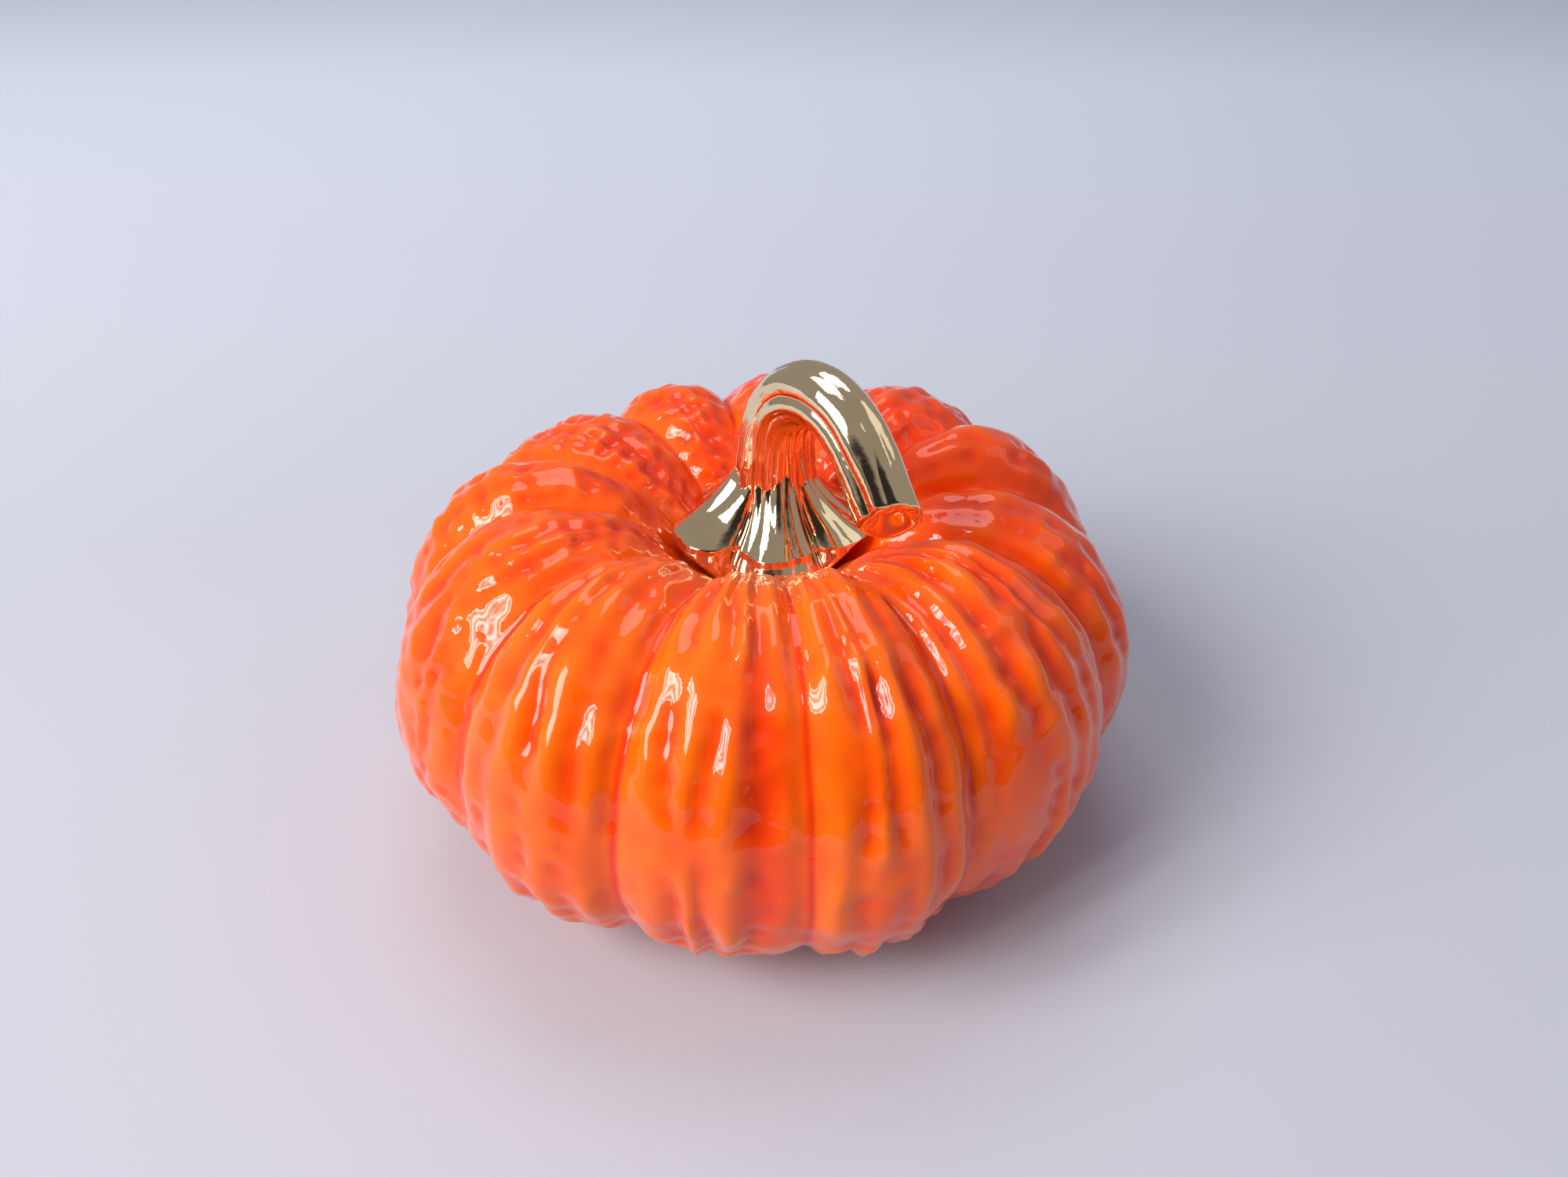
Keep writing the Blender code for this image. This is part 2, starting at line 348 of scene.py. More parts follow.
def normals_of(points):
    """Normals of a grid of points whose columns go round anticlockwise.

    They point outwards where the rows go down, as on the body, and inwards where they go up, as on
    the stem.
    """
    along = np.gradient(points, axis=0)
    wrapped = np.concatenate([points[:, -1:], points, points[:, :1]], axis=1)
    around = (wrapped[:, 2:] - wrapped[:, :-2]) / 2
    normal = np.cross(along, around)
    return normal / np.maximum(np.linalg.norm(normal, axis=-1, keepdims=True), 1e-12)


def lumps(points, size, seed):
    """Smooth noise from -1 to 1 at each point, with features of a given size."""
    flat = points.reshape(-1, 3) / size
    shift = Vector([seed * step for step in NOISE_STEPS])
    values = [noise.noise(Vector(point) + shift) for point in flat]
    return np.array(values).reshape(points.shape[:-1])


def circle(place, radius, turn, height):
    """A level ring of points round a place, at each of the given turns."""
    x, y = place[0] + radius * np.cos(turn), place[1] + radius * np.sin(turn)
    return np.stack([x, y, np.full(len(turn), height)], axis=-1)


# Body


# What is known of each of the body's columns
Columns = namedtuple("Columns", "lobe angle across reach rise size")


def towards_neighbours(own, before, after, place):
    """A lobe's own value across it, going halfway to its neighbours' values at the furrows."""
    return own + (np.where(place > 0, after, before) - own) * np.abs(place) ** 3 / 2


def lobe_columns():
    """Per column: lobe number, angle, place across the lobe from -1 to 1, reach, rise and size."""
    parts = []
    start = FIRST_FURROW
    for i, own in enumerate(LOBES):
        before, after = LOBES[i - 1], LOBES[(i + 1) % len(LOBES)]
        width = math.radians(own.width)
        count = round(BODY_COLUMNS * own.width / 360)
        even = np.linspace(-1, 1, count, endpoint=False)
        place = (1 - FURROW_CROWDING) * even + FURROW_CROWDING * np.sin(even * math.pi / 2)
        swell = np.maximum(0.0, 1 - np.abs(place) ** ROUNDNESS) ** SOFTNESS
        valley = np.where(place > 0, after.furrow, own.furrow)
        part = Columns(
            lobe=np.full(count, i),
            angle=start + width * (place + 1) / 2,
            across=place,
            reach=towards_neighbours(own.reach, before.reach, after.reach, place),
            rise=towards_neighbours(own.rise, before.rise, after.rise, place),
            size=valley + (1 - valley) * swell,
        )
        parts.append(part)
        start += width
    columns = Columns(*(np.concatenate(values) for values in zip(*parts)))
    size = columns.size
    for _ in range(FURROW_ROUNDING):
        size = rounded(size)
    return columns._replace(size=size)


def rounded(values):
    """Values round the body, averaged with their neighbours, the nearest counting most."""
    steps = range(1 - ROUNDING_REACH, ROUNDING_REACH)
    total = sum((ROUNDING_REACH - abs(step)) * np.roll(values, step) for step in steps)
    return total / ROUNDING_REACH**2


def filled(size, turn):
    """A column's size, its furrows filling up from the shoulder into the crater."""
    return size + (1 - size) * CRATER_FILL * smooth((turn - FILL_START) / FILL_LENGTH)


def meridian(angle, reach, rise, size, turn, wall=0.0):
    """Points of the lobes. turn is 0 at the widest part and 90 degrees at the shoulder."""
    height = np.where(turn > 0, LOBE_RISE * rise, LOBE_DROP)
    crater_depth = CRATER_DEPTH * rise**CRATER_EVENING
    depth = np.where(turn > math.pi / 2, crater_depth, LOBE_DEPTH * reach)
    radius = RING_RADIUS + (depth * size - wall) * np.cos(turn)
    return np.stack(
        [
            AXIS[0] + radius * np.cos(angle),
            AXIS[1] + radius * np.sin(angle),
            RING_HEIGHT + (height * size - wall) * np.sin(turn),
        ],
        axis=-1,
    )


def turns_from(floor, rise, size, wall, rows):
    """Turns of each row and column, from a floor in the crater over the shoulder to the base."""
    top = math.pi - np.arcsin((floor - RING_HEIGHT) / (LOBE_RISE * rise * size - wall))
    share = np.linspace(0, 1, rows)[:, None]
    return top + (-math.pi / 2 - top) * share


def groove_lines(width):
    """A lobe's grooves: their places across it, how far each sways and its phases."""
    count = max(3, round(math.radians(width) / FLUTE_WIDTH))
    number = np.arange(count + 1)
    uneven = random.uniform(-GROOVE_UNEVENNESS, GROOVE_UNEVENNESS, count + 1)
    places = (number + uneven) / count * 2 - 1
    places[0], places[-1] = -1.0, 1.0
    sway = GROOVE_SWAY * np.sin(np.pi * number / count)
    phases = random.uniform(0, TAU, (count + 1, len(GROOVE_BENDS)))
    return list(zip(places, sway, phases))


def groove_place(groove, turn):
    """Where a groove runs across its lobe at each turn."""
    place, sway, phases = groove
    return place + sway * waves(turn, [(*bend, phase) for bend, phase in zip(GROOVE_BENDS, phases)])


def flutes(grooves, columns, turn):
    """Height of plain hand-cut flutes, from -1 in a groove to 1 on a ridge."""
    height = np.zeros_like(turn)
    for i, own_grooves in enumerate(grooves):
        mine = columns.lobe == i
        own_turn = turn[:, mine]
        own_across = np.broadcast_to(columns.across[mine], own_turn.shape)
        lines = [groove_place(groove, own_turn) for groove in own_grooves]
        ridge = np.zeros_like(own_turn)
        for low, high in zip(lines, lines[1:]):
            place = (own_across - low) / np.maximum(high - low, 1e-6)
            inside = (place >= 0) & (place < 1)
            ridge = np.where(inside, -np.cos(TAU * np.clip(place, 0, 1)), ridge)
        height[:, mine] = ridge
    return height


def fluting(grooves, columns, turn, points):
    """The flutes as they were cut: each lobe's own strength, patchy, and calm near the crater."""
    strength = np.array([lobe.fluting for lobe in LOBES])[columns.lobe]
    patchy = np.clip(PATCH_MIDDLE + PATCH_SWING * lumps(points, PATCH_SIZE, 1), *PATCH_LIMITS)
    near_crater = 1 - FLUTE_CALM * smooth((turn - FLUTE_CALM_START) / FLUTE_CALM_LENGTH)
    return flutes(grooves, columns, turn) * strength * patchy * near_crater


def dimple_centres(grooves, strength):
    """Places of a lobe's dimples: down its grooves, and its ridges if it has many, with gaps."""
    places = []
    rows = list(grooves[1:-1])
    if strength > MANY_DIMPLES:
        rows += [tuple((a + b) / 2 for a, b in zip(*pair)) for pair in zip(grooves, grooves[1:])]
    for k, groove in enumerate(rows):
        turn = DIMPLE_TOP - DIMPLE_PITCH * (k % 2 / 2 + random.uniform(0, 0.2))
        while turn > DIMPLE_BOTTOM:
            kept = random.uniform() < (1 + strength) / 2
            place = groove_place(groove, turn) + random.normal(0, DIMPLE_STRAY)
            size = random.uniform(*DIMPLE_SIZES)
            depth = random.uniform(*DIMPLE_DEPTHS)
            if kept:
                places.append((place, turn, size, depth))
            turn -= DIMPLE_PITCH * random.uniform(*DIMPLE_STEPS)
    return places


def lobe_point(columns, mine, place, turn):
    """The point of one lobe's columns at a place across it."""
    values = (columns.angle, columns.reach, columns.rise, columns.size)
    angle, reach, rise, size = (np.interp(place, columns.across[mine], of[mine]) for of in values)
    return meridian(angle, reach, rise, filled(size, turn), np.array(turn))


def dimples(grooves, columns, points):
    """Depth of the hammered dimples at each point."""
    depth = np.zeros(points.shape[:-1])
    for i, lobe in enumerate(LOBES):
        mine = np.flatnonzero(columns.lobe == i)
        own = points[:, mine].reshape(-1, 3)
        own_depth = np.zeros(len(own))
        for place, turn, spread, weight in dimple_centres(grooves[i], lobe.dimpling):
            centre = lobe_point(columns, mine, place, turn)
            distance = np.linalg.norm(own - centre, axis=1) / (DIMPLE_RADIUS * spread)
            shape = np.exp(-DIMPLE_STEEPNESS * distance**DIMPLE_POWER)
            own_depth += lobe.dimpling * weight * shape
        depth[:, mine] = own_depth.reshape(-1, len(mine))
    return depth


def front_hollow(columns, turn):
    """The wide hollow down the front lobe, just left of the front furrow, from 0 to 1."""
    across = np.exp(-(((columns.across - HOLLOW_PLACE) / HOLLOW_WIDTH) ** 2))
    ends = smooth((turn - HOLLOW_LOW) / HOLLOW_FADE) * smooth((HOLLOW_HIGH - turn) / HOLLOW_FADE)
    return (columns.lobe == FRONT_LOBE) * across * ends


def low_creases(turn, points):
    """The level creases that cross the flutes below the lobes' widest part, from -1 to 1."""
    crease = np.sin(CREASE_RATE * turn + CREASE_SWAY * lumps(points, CREASE_SWAY_SIZE, 2))
    return crease * smooth((CREASE_TOP - turn) / CREASE_FADE)


def furrow_strip(columns, turn):
    """The line of thick glaze along each furrow, as pooled glaze from 0 to STRIP_POOL."""
    beside_front = (columns.lobe == FRONT_LOBE) & (columns.across > 0)
    beside_front |= (columns.lobe == FRONT_LOBE + 1) & (columns.across < 0)
    low_down = smooth((SWELL_TOP - turn) / SWELL_FADE) * smooth((turn - SWELL_BOTTOM) / SWELL_END)
    width = STRIP_WIDTH + STRIP_SWELL * low_down * beside_front
    return STRIP_POOL * np.exp(-(((1 - np.abs(columns.across)) / width) ** 2))


def body_surface(columns):
    """The glazed outside: its points, and how thick its glaze has pooled at each plus painted
    shade, 0 to 1.
    """
    turn = turns_from(CRATER_FLOOR, columns.rise, filled(columns.size, math.pi), 0.0, BODY_ROWS)
    points = meridian(columns.angle, columns.reach, columns.rise, filled(columns.size, turn), turn)
    share = np.linspace(0, 1, BODY_ROWS)[:, None]
    ends = smooth(share / CRATER_FADE) * smooth((1 - share) / FOOT_FADE)
    marked = ends * (1 - np.abs(columns.across) ** 6)  # no marks in the furrows
    grooves = [groove_lines(lobe.width) for lobe in LOBES]
    flute = fluting(grooves, columns, turn, points) * marked
    dimple = dimples(grooves, columns, points) * marked
    hollow = front_hollow(columns, turn)
    hammered = lumps(points, HAMMERED_SIZE, 3) + 0.5 * lumps(points, FINE_HAMMERED_SIZE, 4)
    height = (
        FLUTE_DEPTH * flute
        - DIMPLE_DEPTH * dimple
        - HOLLOW_DEPTH * hollow
        + CREASE_HEIGHT * low_creases(turn, points) * marked
        + HAMMERED_HEIGHT * hammered * ends
        + BROAD_HEIGHT * lumps(points, BROAD_SIZE, 5) * ends
    )
    pool_and_shade = (
        PLAIN_POOL
        + FLUTE_POOL * flute
        + DIMPLE_POOL * dimple
        + HOLLOW_POOL * hollow
        + HAMMERED_POOL * hammered
        # painted shade on the +X side, away from the key light
        + SHADED_SIDE_POOL * np.maximum(np.cos(columns.angle - SHADED_SIDE), 0)
    )
    pool_and_shade = np.maximum(np.clip(pool_and_shade, 0, MARK_POOL_LIMIT), furrow_strip(columns, turn))
    return points + normals_of(points) * height[..., None], pool_and_shade


def body_inside(columns):
    """The cavity's rings, from its base up to the crater's floor."""
    floor = CRATER_FLOOR - WALL
    size = INSIDE_FURROW + (1 - INSIDE_FURROW) * INSIDE_SWELL * (1 - columns.across**2)
    turn = turns_from(floor, columns.rise, size, WALL, INSIDE_ROWS)
    return meridian(columns.angle, columns.reach, columns.rise, size, turn, WALL)[::-1]


def build_body(glaze, clay):
    """The hollow shell: glazed outside, and bare clay at the foot, the drain hole and inside."""
    columns = lobe_columns()
    outside, pool_and_shade = body_surface(columns)

    def level(radius, height, place=AXIS):
        return circle(place, radius, columns.angle, height)[None]

    glazed = [level(SOCKET_RADIUS, CRATER_FLOOR, STEM_PLACE), outside]
    bare = [
        level(FOOT_OUTER, FOOT_BOTTOM + FOOT_CHAMFER),
        level(FOOT_OUTER - FOOT_CHAMFER, FOOT_BOTTOM),
        level(FOOT_INNER + FOOT_CHAMFER, FOOT_BOTTOM),
        level(FOOT_INNER, FOOT_BOTTOM + FOOT_CHAMFER),
        level(FOOT_INNER, FOOT_BOTTOM + FOOT_HEIGHT),
        level(DRAIN_RADIUS, FOOT_BOTTOM + FOOT_HEIGHT),
        level(DRAIN_RADIUS, BASE_INSIDE),
        level(FOOT_OUTER - WALL, BASE_INSIDE),
        body_inside(columns),
        level(SOCKET_RADIUS, CRATER_FLOOR - WALL, STEM_PLACE),
    ]
    mesh = ring_mesh("pumpkin_shell", np.concatenate(glazed + bare), closed=True)
    mesh.flip_normals()  # its outside rings go down, not up
    count = len(columns.angle)
    glazed_end = (1 + BODY_ROWS) * count
    values = np.full(len(mesh.vertices), SOCKET_POOL)
    values[count:glazed_end] = pool_and_shade.reshape(-1)
    # glaze pooling and the painted shade of the +X side, stored as one attribute
    mesh.attributes.new("pool_and_shade", "FLOAT", "POINT").data.foreach_set("value", values)
    index = np.ones(len(mesh.polygons), dtype=np.int32)
    index[:glazed_end] = 0
    mesh.polygons.foreach_set("material_index", index)
    return add_piece("pumpkin_shell", mesh, (glaze, clay), "pumpkin_body")


# Stem


def stem_lean(along):
    """How far the centreline leans over at each length along it."""
    return END_LEAN * smooth((along - BEND_START) / (BEND_END - BEND_START))


def stem_middle(along):
    """Points of the stem's centreline, its lean summed up along it."""
    share = (np.arange(LEAN_STEPS) + 0.5) / LEAN_STEPS
    lean = stem_lean(along[:, None] * share)
    x = np.sin(lean).sum(axis=1) * along / LEAN_STEPS
    z = np.cos(lean).sum(axis=1) * along / LEAN_STEPS
    return np.stack([x, np.zeros_like(x), SKIRT_BOTTOM + z], axis=-1)


def trunk_radius(along):
    """The plain radius, which narrows from the trunk to the hook."""
    return TRUNK_RADIUS + (TIP_RADIUS - TRUNK_RADIUS) * smooth(along / TRUNK_LENGTH)


def roots(along, turn):
    """How far the roots, and the creases between them, stand out from the trunk."""
    length = FLARE_LENGTH * (1 + waves(turn, FLARE_UNEVENNESS))
    left = np.clip(1 - (along[:, None] - SKIRT_EDGE) / length, 0, 1)
    crest = (CREST_RADIUS - TRUNK_RADIUS) * left**CREST_POWER
    crease = (CREASE_RADIUS - TRUNK_RADIUS) * left**CREASE_POWER
    root = turn * len(ROOT_REACH) / TAU + 0.5
    from_crest = np.abs(root % 1 - 0.5) * 2
    share = (1 - from_crest**ROOT_FLATNESS) ** ROOT_SOFTNESS
    reach = np.array(ROOT_REACH)[root.astype(int) % len(ROOT_REACH)]
    return crease + (crest * reach - crease) * share


def drift(along, stops):
    """A value that eases along the stem through (length in radii, value) stops."""
    lengths, values = zip(*stops)
    return np.interp(along / RADIUS, lengths, values)


# Grooves along the stem, by length along it in radii: stops of angle in degrees from the front
# root, stops of depth as a share of the radius, and width in degrees
GROOVES = (
    # the deep valley up the left of the trunk and under the hook
    (
        ((0, -36), (0.2, -40), (0.45, -62), (0.9, -66)),
        ((0, 0.10), (0.15, 0.12), (0.4, 0.17), (0.9, 0.15)),
        26,
    ),
    # between the other roots
    (((0, 36), (0.3, 34), (0.9, 20)), ((0, 0.05), (0.15, 0.12), (0.5, 0.12), (0.9, 0.08)), 24),
    (((0, 108), (0.9, 100)), ((0, 0.05), (0.15, 0.12), (0.9, 0.10)), 26),
    (((0, 180), (0.9, 165)), ((0, 0.05), (0.15, 0.12), (0.9, 0.08)), 30),
    (
        ((0, -108), (0.3, -112), (0.5, -128), (0.9, -110)),
        ((0, 0.05), (0.15, 0.10), (0.5, 0.06), (0.9, 0.09)),
        26,
    ),
    (((0, -140), (0.9, -148)), ((0, 0), (0.3, 0.03), (0.6, 0.01), (0.9, 0.07)), 24),
    # fine flutes up the front and the sides of the trunk
    (((0, -21), (0.3, -24), (0.9, -30)), ((0, 0.12), (0.3, 0.12), (0.5, 0.07), (0.6, 0)), 15),
    (((0, -2), (0.3, -6), (0.9, -8)), ((0, 0.05), (0.2, 0.13), (0.4, 0.07), (0.5, 0)), 13),
    (((0, 15), (0.3, 11), (0.9, 14)), ((0, 0.14), (0.25, 0.11), (0.5, 0.08), (0.6, 0)), 16),
    (((0, 56), (0.9, 58)), ((0, 0.10), (0.12, 0.12), (0.3, 0.10), (0.5, 0.08), (0.9, 0.05)), 18),
    (((0, 82), (0.9, 80)), ((0, 0.09), (0.12, 0.10), (0.3, 0.08), (0.6, 0)), 16),
    (((0, -64), (0.9, -88)), ((0, 0.12), (0.12, 0.10), (0.25, 0.07), (0.45, 0.02), (0.6, 0)), 17),
    (((0, -88), (0.9, -98)), ((0, 0.05), (0.15, 0.07), (0.25, 0.06), (0.4, 0)), 14),
    (((0, -130), (0.9, -128)), ((0, 0.10), (0.15, 0.07), (0.3, 0.05), (0.4, 0)), 16),
    (((0, 135), (0.9, 130)), ((0, 0.10), (0.15, 0.07), (0.3, 0.05), (0.4, 0)), 16),
    (((0, 156), (0.9, 148)), ((0, 0.06), (0.2, 0.07), (0.5, 0.05), (0.9, 0.05)), 15),
)


def groove_cuts(along, turn):
    """How deep the grooves cut at each length and angle, as a share of the radius."""
    cut = np.zeros((len(along), len(turn)))
    for i, (angles, depths, width) in enumerate(GROOVES):
        sway = waves(along / RADIUS, ((2.5, 13, 2.1 * i), (1.5, 29, i)))  # in degrees
        line = np.radians(drift(along, angles) + sway)
        away = (turn[None] - line[:, None] + math.pi) % TAU - math.pi
        near = np.clip(1 - np.abs(away) / math.radians(width), 0, 1)
        cut += drift(along, depths)[:, None] * near**GROOVE_POWER
    return cut


def stem_point_rings(along, scale, slant, groove_share=1.0):
    """Fluted rings across the stem, scaled about its centreline and slanted towards its end."""
    turn = np.linspace(0, TAU, STEM_COLUMNS, endpoint=False)
    fluted = RIDGE - groove_cuts(along, turn) * np.reshape(groove_share, (-1, 1))
    reach = (trunk_radius(along)[:, None] * fluted + roots(along, turn)) * scale[:, None]
    out = reach * np.cos(turn + ROOT_ANGLE)
    aside = reach * np.sin(turn + ROOT_ANGLE)
    shift = slant[:, None] * (END_SLANT[0] * out + END_SLANT[1] * aside)
    middle, lean = stem_middle(along), stem_lean(along)
    x = middle[:, :1] + out * np.cos(lean)[:, None] + shift * np.sin(lean)[:, None]
    z = middle[:, 2:] - out * np.sin(lean)[:, None] + shift * np.cos(lean)[:, None]
    return np.stack([x, aside, z], axis=-1)


def seat_rings():
    """The spigot, and the seat that spreads under the skirt's edge but clears the crater's wall."""
    base = stem_point_rings(np.zeros(1), np.ones(1), np.zeros(1))[0]
    reach = np.linalg.norm(base[:, :2], axis=1)
    unit = base[:, :2] / reach[:, None]

    def level(radius, height):
        return np.column_stack([unit * np.reshape(radius, (-1, 1)), np.full(len(unit), height)])

    rings = [
        level(PINHOLE, SPIGOT_BOTTOM),
        level(SPIGOT_RADIUS, SPIGOT_BOTTOM),
        level(SPIGOT_RADIUS, SEAT_BOTTOM),
    ]
    shift = STEM_SHIFT * unit @ (math.cos(STEM_LEAN), -math.sin(STEM_LEAN))
    for height in np.linspace(SEAT_BOTTOM, SKIRT_BOTTOM, SEAT_ROWS):
        rise = (height - RING_HEIGHT) / LOBE_RISE
        wall = RING_RADIUS - CRATER_DEPTH * math.sqrt(1 - rise**2)
        radius = np.minimum(reach + SKIRT_SLOPE * (SKIRT_BOTTOM - height), wall - shift - SKIRT_GAP)
        rings.append(level(radius, height))
    return rings


def outside_rings():
    """The skirt, the trunk and the hook, its slanting end rounded off."""
    share = np.linspace(0, 1, STEM_ROWS)
    along = SKIRT_EDGE + (STEM_LENGTH - SKIRT_EDGE) * share**STEM_CROWDING
    to_end = STEM_LENGTH - along
    round_off = np.clip(1 - to_end / END_ROUNDING, 0, 1)
    scale = 1 - (1 - RIM_SCALE) * (1 - np.sqrt(1 - round_off**2))
    slant = np.clip(1 - to_end / SLANT_FADE, 0, 1)
    return stem_point_rings(along, scale, slant)


def end_rings():
    """The scooped end, from its rim inwards. The grooves fade out on the way."""
    share = np.linspace(0.06, 1, END_ROWS)
    along = STEM_LENGTH - END_HOLLOW * smooth(1.25 * share)
    scale = RIM_SCALE * (1 - share) + 0.002
    return stem_point_rings(along, scale, np.ones(END_ROWS), 1 - smooth(2.5 * share))


def build_stem(gold):
    """The gold stem, leaning to its side of the crater, its surface cast a little unevenly."""
    rings = np.concatenate([seat_rings(), outside_rings(), end_rings()])
    turned = rings.copy()
    turned[..., 0] = rings[..., 0] * math.cos(STEM_LEAN) - rings[..., 1] * math.sin(STEM_LEAN)
    turned[..., 1] = rings[..., 0] * math.sin(STEM_LEAN) + rings[..., 1] * math.cos(STEM_LEAN)
    points = turned + STEM_PLACE
    uneven = 0.22 * lumps(points, STEM_LUMP_SIZE, 6) + 0.08 * lumps(points, STEM_PIT_SIZE, 7)
    points = points - normals_of(points) * (uneven * MM)[..., None]
    mesh = ring_mesh("gold_stem", points)
    return add_piece("gold_stem", mesh, (gold,), "stem")


# Small parts


def build_adhesive(epoxy):
    """The epoxy sleeve and its bead, squeezed out a little unevenly."""
    low, high = (np.array(corner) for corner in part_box("stem_adhesive"))
    outer = (high[0] - low[0]) / 2
    inner = SPIGOT_RADIUS + EPOXY_GAP
    turn = np.linspace(0, TAU, EPOXY_COLUMNS, endpoint=False)
    squeezed = np.abs(waves(turn, EPOXY_UNEVENNESS))
    profile = [
        (inner, low[2]),
        (outer, low[2]),
        (outer, high[2] - EPOXY_BEAD),
        (outer - 0.2 * MM - squeezed, high[2] - 0.55 * EPOXY_BEAD),
        (outer - 0.6 * MM - squeezed, high[2] - 0.2 * EPOXY_BEAD),
        (inner + 0.3 * MM - squeezed, high[2]),
        (inner, high[2]),
    ]
    rings = [circle(STEM_PLACE, radius, turn, height) for radius, height in profile]
    mesh = ring_mesh("glue_bead", rings, closed=True)
    return add_piece("glue_bead", mesh, (epoxy,), "stem_adhesive")


def build_pad(number, felt):
    """One felt pad: a pressed disc with a soft, slightly frayed edge."""
    node = f"felt_pad_{number}"
    low, high = (np.array(corner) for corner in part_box(node))
    centre = (low + high) / 2
    radius = (high[0] - low[0]) / 2
    thick = high[2] - low[2]
    turn = np.linspace(0, TAU, PAD_COLUMNS, endpoint=False)
    rings = []
    for reach, height in PAD_PROFILE:
        fray = PAD_FRAY * random.standard_normal(PAD_COLUMNS) * (reach > PAD_EDGE)
        distance = radius * np.minimum(reach + fray, 1.0)
        rings.append(circle(centre, distance, turn, low[2] + thick * height))
    mesh = ring_mesh(f"felt_disc_{number}", rings)
    return add_piece(f"felt_disc_{number}", mesh, (felt,), node)


# Materials


def new_material(name):
    """A material with its nodes, its links and its shader."""
    made = bpy.data.materials.new(name)
    made.use_nodes = True
    nodes = made.node_tree.nodes
    return made, nodes, made.node_tree.links, nodes["Principled BSDF"]


def ramp(nodes, links, source, stops):
    """A colour ramp from a list of (place, colour)."""
    made = nodes.new("ShaderNodeValToRGB")
    elements = made.color_ramp.elements
    while len(elements) < len(stops):
        elements.new(0.5)
    for element, (place, colour) in zip(elements, stops):
        element.position = place
        element.color = (*colour, 1.0)
    links.new(source, made.inputs["Fac"])
    return made.outputs["Color"]


def noise_texture(nodes, links, scale, detail=3.0):
    """Noise over the object's own coordinates, with scale in features per metre."""
    place = nodes.new("ShaderNodeTexCoord")
    made = nodes.new("ShaderNodeTexNoise")
    made.inputs["Scale"].default_value = scale
    made.inputs["Detail"].default_value = detail
    links.new(place.outputs["Object"], made.inputs["Vector"])
    return made.outputs["Fac"]


def add_bump(nodes, links, shader, source, strength, distance, inputs=("Normal",)):
    """Fine relief on the shader's normals, distance metres deep at full strength."""
    made = nodes.new("ShaderNodeBump")
    made.inputs["Strength"].default_value = strength
    made.inputs["Distance"].default_value = distance
    links.new(source, made.inputs["Height"])
    for name in inputs:
        links.new(made.outputs["Normal"], shader.inputs[name])


def maths(nodes, links, operation, first, second):
    """The output of one sum, whose terms are sockets or plain numbers."""
    made = nodes.new("ShaderNodeMath")
    made.operation = operation
    for socket, value in zip(made.inputs, (first, second)):
        if isinstance(value, float):
            socket.default_value = value
        else:
            links.new(value, socket)
    return made.outputs["Value"]


def glaze_material():
    """Orange glaze: pale where it is thin on the ridges, deep red where it has pooled and on the
    painted shade of the +X side.
    """
    made, nodes, links, shader = new_material("orange_glaze")
    pool_and_shade = nodes.new("ShaderNodeAttribute")
    pool_and_shade.attribute_name = "pool_and_shade"
    patchiness = 0.22
    patches = maths(nodes, links, "MULTIPLY", noise_texture(nodes, links, 60.0), patchiness)
    thick = maths(nodes, links, "ADD", pool_and_shade.outputs["Fac"], patches)
    thick = maths(nodes, links, "SUBTRACT", thick, patchiness / 2)
    stops = (
        (0.00, (1.00, 0.178, 0.003)),
        (0.35, (1.00, 0.123, 0.002)),
        (0.62, (0.95, 0.064, 0.001)),
        (1.00, (0.66, 0.018, 0.001)),
    )
    links.new(ramp(nodes, links, thick, stops), shader.inputs["Base Color"])
    shader.inputs["Roughness"].default_value = 0.35
    shader.inputs["Specular IOR Level"].default_value = 0.05
    shader.inputs["Coat Weight"].default_value = 1.0
    shader.inputs["Coat Roughness"].default_value = 0.025
    shader.inputs["Coat IOR"].default_value = 1.45
    ripple = noise_texture(nodes, links, 260.0, 2.0)
    add_bump(nodes, links, shader, ripple, 0.25, 0.0004, ("Normal", "Coat Normal"))
    return made


def clay_material():
    """Bare fired clay of the foot ring, the recess and the inside."""
    made, nodes, links, shader = new_material("bare_clay")
    grain = noise_texture(nodes, links, 900.0, 6.0)
    stops = ((0.3, (0.62, 0.52, 0.42)), (0.7, (0.76, 0.68, 0.58)))
    links.new(ramp(nodes, links, grain, stops), shader.inputs["Base Color"])
    shader.inputs["Roughness"].default_value = 0.85
    add_bump(nodes, links, shader, grain, 0.4, 0.0002)
    return made


def gold_material():
    """Pale, mirror-bright gold plating, a little thinner and browner in patches."""
    made, nodes, links, shader = new_material("gold_plating")
    patches = noise_texture(nodes, links, 90.0, 4.0)
    stops = ((0.35, (0.84, 0.67, 0.41)), (0.7, (0.90, 0.74, 0.48)))
    links.new(ramp(nodes, links, patches, stops), shader.inputs["Base Color"])
    shader.inputs["Metallic"].default_value = 1.0
    specks = noise_texture(nodes, links, 1500.0, 2.0)
    rough = ramp(nodes, links, specks, ((0.4, (0.03,) * 3), (0.8, (0.09,) * 3)))
    links.new(rough, shader.inputs["Roughness"])
    ripple = noise_texture(nodes, links, 330.0, 2.0)
    add_bump(nodes, links, shader, ripple, 0.2, 0.0004)
    return made


def epoxy_material():
    """Set epoxy: honey-coloured, a little cloudy."""
    made, nodes, links, shader = new_material("clear_epoxy")
    cloud = noise_texture(nodes, links, 400.0)
    stops = ((0.3, (0.55, 0.42, 0.20)), (0.7, (0.78, 0.68, 0.42)))
    links.new(ramp(nodes, links, cloud, stops), shader.inputs["Base Color"])
    shader.inputs["Roughness"].default_value = 0.28
    add_bump(nodes, links, shader, cloud, 0.3, 0.0003)
    return made


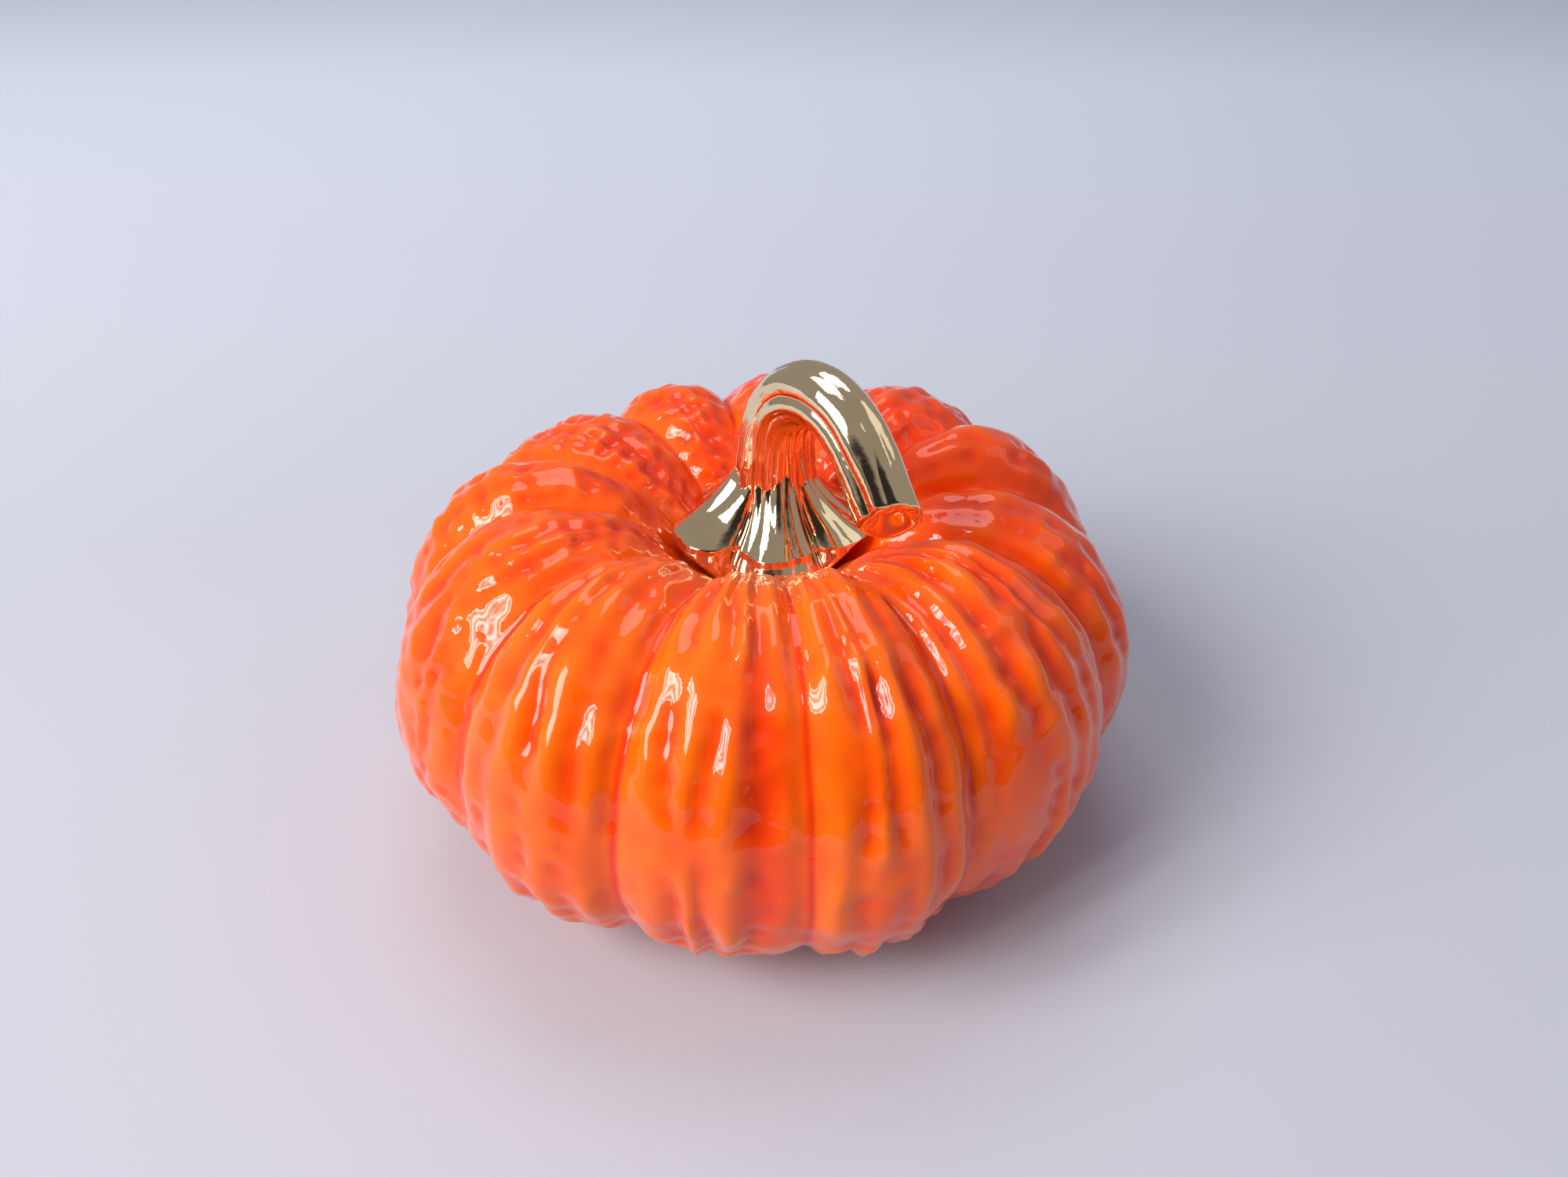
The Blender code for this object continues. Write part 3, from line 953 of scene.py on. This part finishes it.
def felt_material():
    """Pressed wool felt: mottled fibres with a soft sheen."""
    made, nodes, links, shader = new_material("wool_felt")
    fibres = noise_texture(nodes, links, 2600.0, 8.0)
    stops = ((0.3, (0.22, 0.19, 0.15)), (0.7, (0.46, 0.41, 0.34)))
    links.new(ramp(nodes, links, fibres, stops), shader.inputs["Base Color"])
    shader.inputs["Roughness"].default_value = 0.95
    shader.inputs["Sheen Weight"].default_value = 0.4
    add_bump(nodes, links, shader, fibres, 0.7, 0.0003)
    return made


def floor_material():
    """A pale sweep, lighter towards the back: painted light that makes up for the lamps' light
    falling off there.
    """
    made, nodes, links, shader = new_material("pale_floor")
    place = nodes.new("ShaderNodeTexCoord")
    split = nodes.new("ShaderNodeSeparateXYZ")
    links.new(place.outputs["Object"], split.inputs["Vector"])
    share = maths(nodes, links, "MULTIPLY", split.outputs["Y"], 0.5)
    # painted light: the far floor is drawn lighter where the lamps' light falls off
    stops = ((0.06, (0.535, 0.54, 0.60)), (0.45, (0.73, 0.77, 0.86)))
    links.new(ramp(nodes, links, share, stops), shader.inputs["Base Color"])
    shader.inputs["Roughness"].default_value = 0.75
    shader.inputs["Specular IOR Level"].default_value = 0.2
    return made


def flag_material():
    """Dull near-black, for a card that only darkens reflections."""
    made, _, _, shader = new_material("dark_flag")
    shader.inputs["Base Color"].default_value = (0.035, 0.032, 0.03, 1.0)
    shader.inputs["Roughness"].default_value = 0.9
    return made


# Stage


def add_card(name, front, back, height, finish):
    """A level card of the stage, as wide as the floor."""
    corners = [
        (-FLOOR_REACH, front, height),
        (FLOOR_REACH, front, height),
        (FLOOR_REACH, back, height),
        (-FLOOR_REACH, back, height),
    ]
    mesh = bpy.data.meshes.new(name)
    mesh.from_pydata(corners, [], [range(len(corners))])
    mesh.materials.append(finish)
    card = bpy.data.objects.new(name, mesh)
    bpy.context.scene.collection.objects.link(card)
    return card


def build_stage():
    """A wide pale floor, and a dark flag that only reflections see past the table's near edge."""
    add_card("floor", -FLOOR_REACH, FLOOR_REACH, 0, floor_material())
    flag = add_card("table_edge_flag", -FLOOR_REACH, TABLE_EDGE, MM, flag_material())
    flag.visible_camera = False
    flag.visible_diffuse = False
    flag.visible_shadow = False
    flag.visible_transmission = False


def add_area_light(name, azimuth, elevation, distance, size, energy, colour, panes=0):
    """A square light aimed at the figure. Azimuth is from the front towards +X, in degrees."""
    around, up = math.radians(azimuth), math.radians(elevation)
    away = Vector((math.sin(around) * math.cos(up), -math.cos(around) * math.cos(up), math.sin(up)))
    data = bpy.data.lights.new(name, "AREA")
    data.shape = "SQUARE"
    data.size = size
    data.energy = energy
    data.color = colour
    light = bpy.data.objects.new(name, data)
    light.location = Vector((AXIS[0], AXIS[1], RING_HEIGHT)) + away * distance
    light.rotation_euler = away.to_track_quat("Z", "Y").to_euler()
    light.visible_camera = False
    bpy.context.scene.collection.objects.link(light)
    if panes:
        add_panes(data, panes)


def add_panes(light, count):
    """Bright and dim stripes across a light, as from an umbrella's panes."""
    light.use_nodes = True
    nodes, links = light.node_tree.nodes, light.node_tree.links
    emission = nodes["Emission"]
    place = nodes.new("ShaderNodeNewGeometry")
    split = nodes.new("ShaderNodeSeparateXYZ")
    links.new(place.outputs["Parametric"], split.inputs["Vector"])
    across = maths(nodes, links, "MULTIPLY", split.outputs["X"], float(count) * TAU)
    stripes = maths(nodes, links, "COSINE", across, 0.0)
    strength = maths(nodes, links, "MULTIPLY", stripes, PANE_CONTRAST)
    strength = maths(nodes, links, "ADD", strength, 1.0)
    links.new(strength, emission.inputs["Strength"])


def eased(nodes, links, source, low, high):
    """0 to 1, eased, as the source goes from low to high."""
    made = nodes.new("ShaderNodeMapRange")
    made.interpolation_type = "SMOOTHSTEP"
    made.inputs["From Min"].default_value = low
    made.inputs["From Max"].default_value = high
    links.new(source, made.inputs["Value"])
    return made.outputs["Result"]


def build_world():
    """Pale all round for soft light. Reflections see a dark room on the camera's side."""
    world = bpy.data.worlds.new("studio")
    bpy.context.scene.world = world
    world.use_nodes = True
    nodes, links = world.node_tree.nodes, world.node_tree.links
    plain = nodes["Background"]
    plain.inputs["Color"].default_value = (0.60, 0.64, 0.75, 1.0)
    plain.inputs["Strength"].default_value = 0.44
    room = nodes.new("ShaderNodeBackground")
    place = nodes.new("ShaderNodeTexCoord")
    split = nodes.new("ShaderNodeSeparateXYZ")
    links.new(place.outputs["Generated"], split.inputs["Vector"])
    share = eased(nodes, links, split.outputs["Y"], *DARK_SIDE)
    stops = ((0.0, (0.03, 0.028, 0.026)), (1.0, (0.32, 0.305, 0.31)))
    links.new(ramp(nodes, links, share, stops), room.inputs["Color"])
    path = nodes.new("ShaderNodeLightPath")
    mixed = nodes.new("ShaderNodeMixShader")
    links.new(path.outputs["Is Glossy Ray"], mixed.inputs["Fac"])
    links.new(plain.outputs["Background"], mixed.inputs[1])
    links.new(room.outputs["Background"], mixed.inputs[2])
    links.new(mixed.outputs["Shader"], nodes["World Output"].inputs["Surface"])


def build_lights():
    """The three studio lights, seen without any tone curve."""
    for name, light in LIGHTS.items():
        add_area_light(name, **light)
    view = bpy.context.scene.view_settings
    view.view_transform = "Standard"
    view.look = "None"


set_up_camera()
build_stage()
build_world()
build_lights()
build_body(glaze_material(), clay_material())
build_stem(gold_material())
build_adhesive(epoxy_material())
felt_finish = felt_material()
for pad_number in range(1, 5):
    build_pad(pad_number, felt_finish)
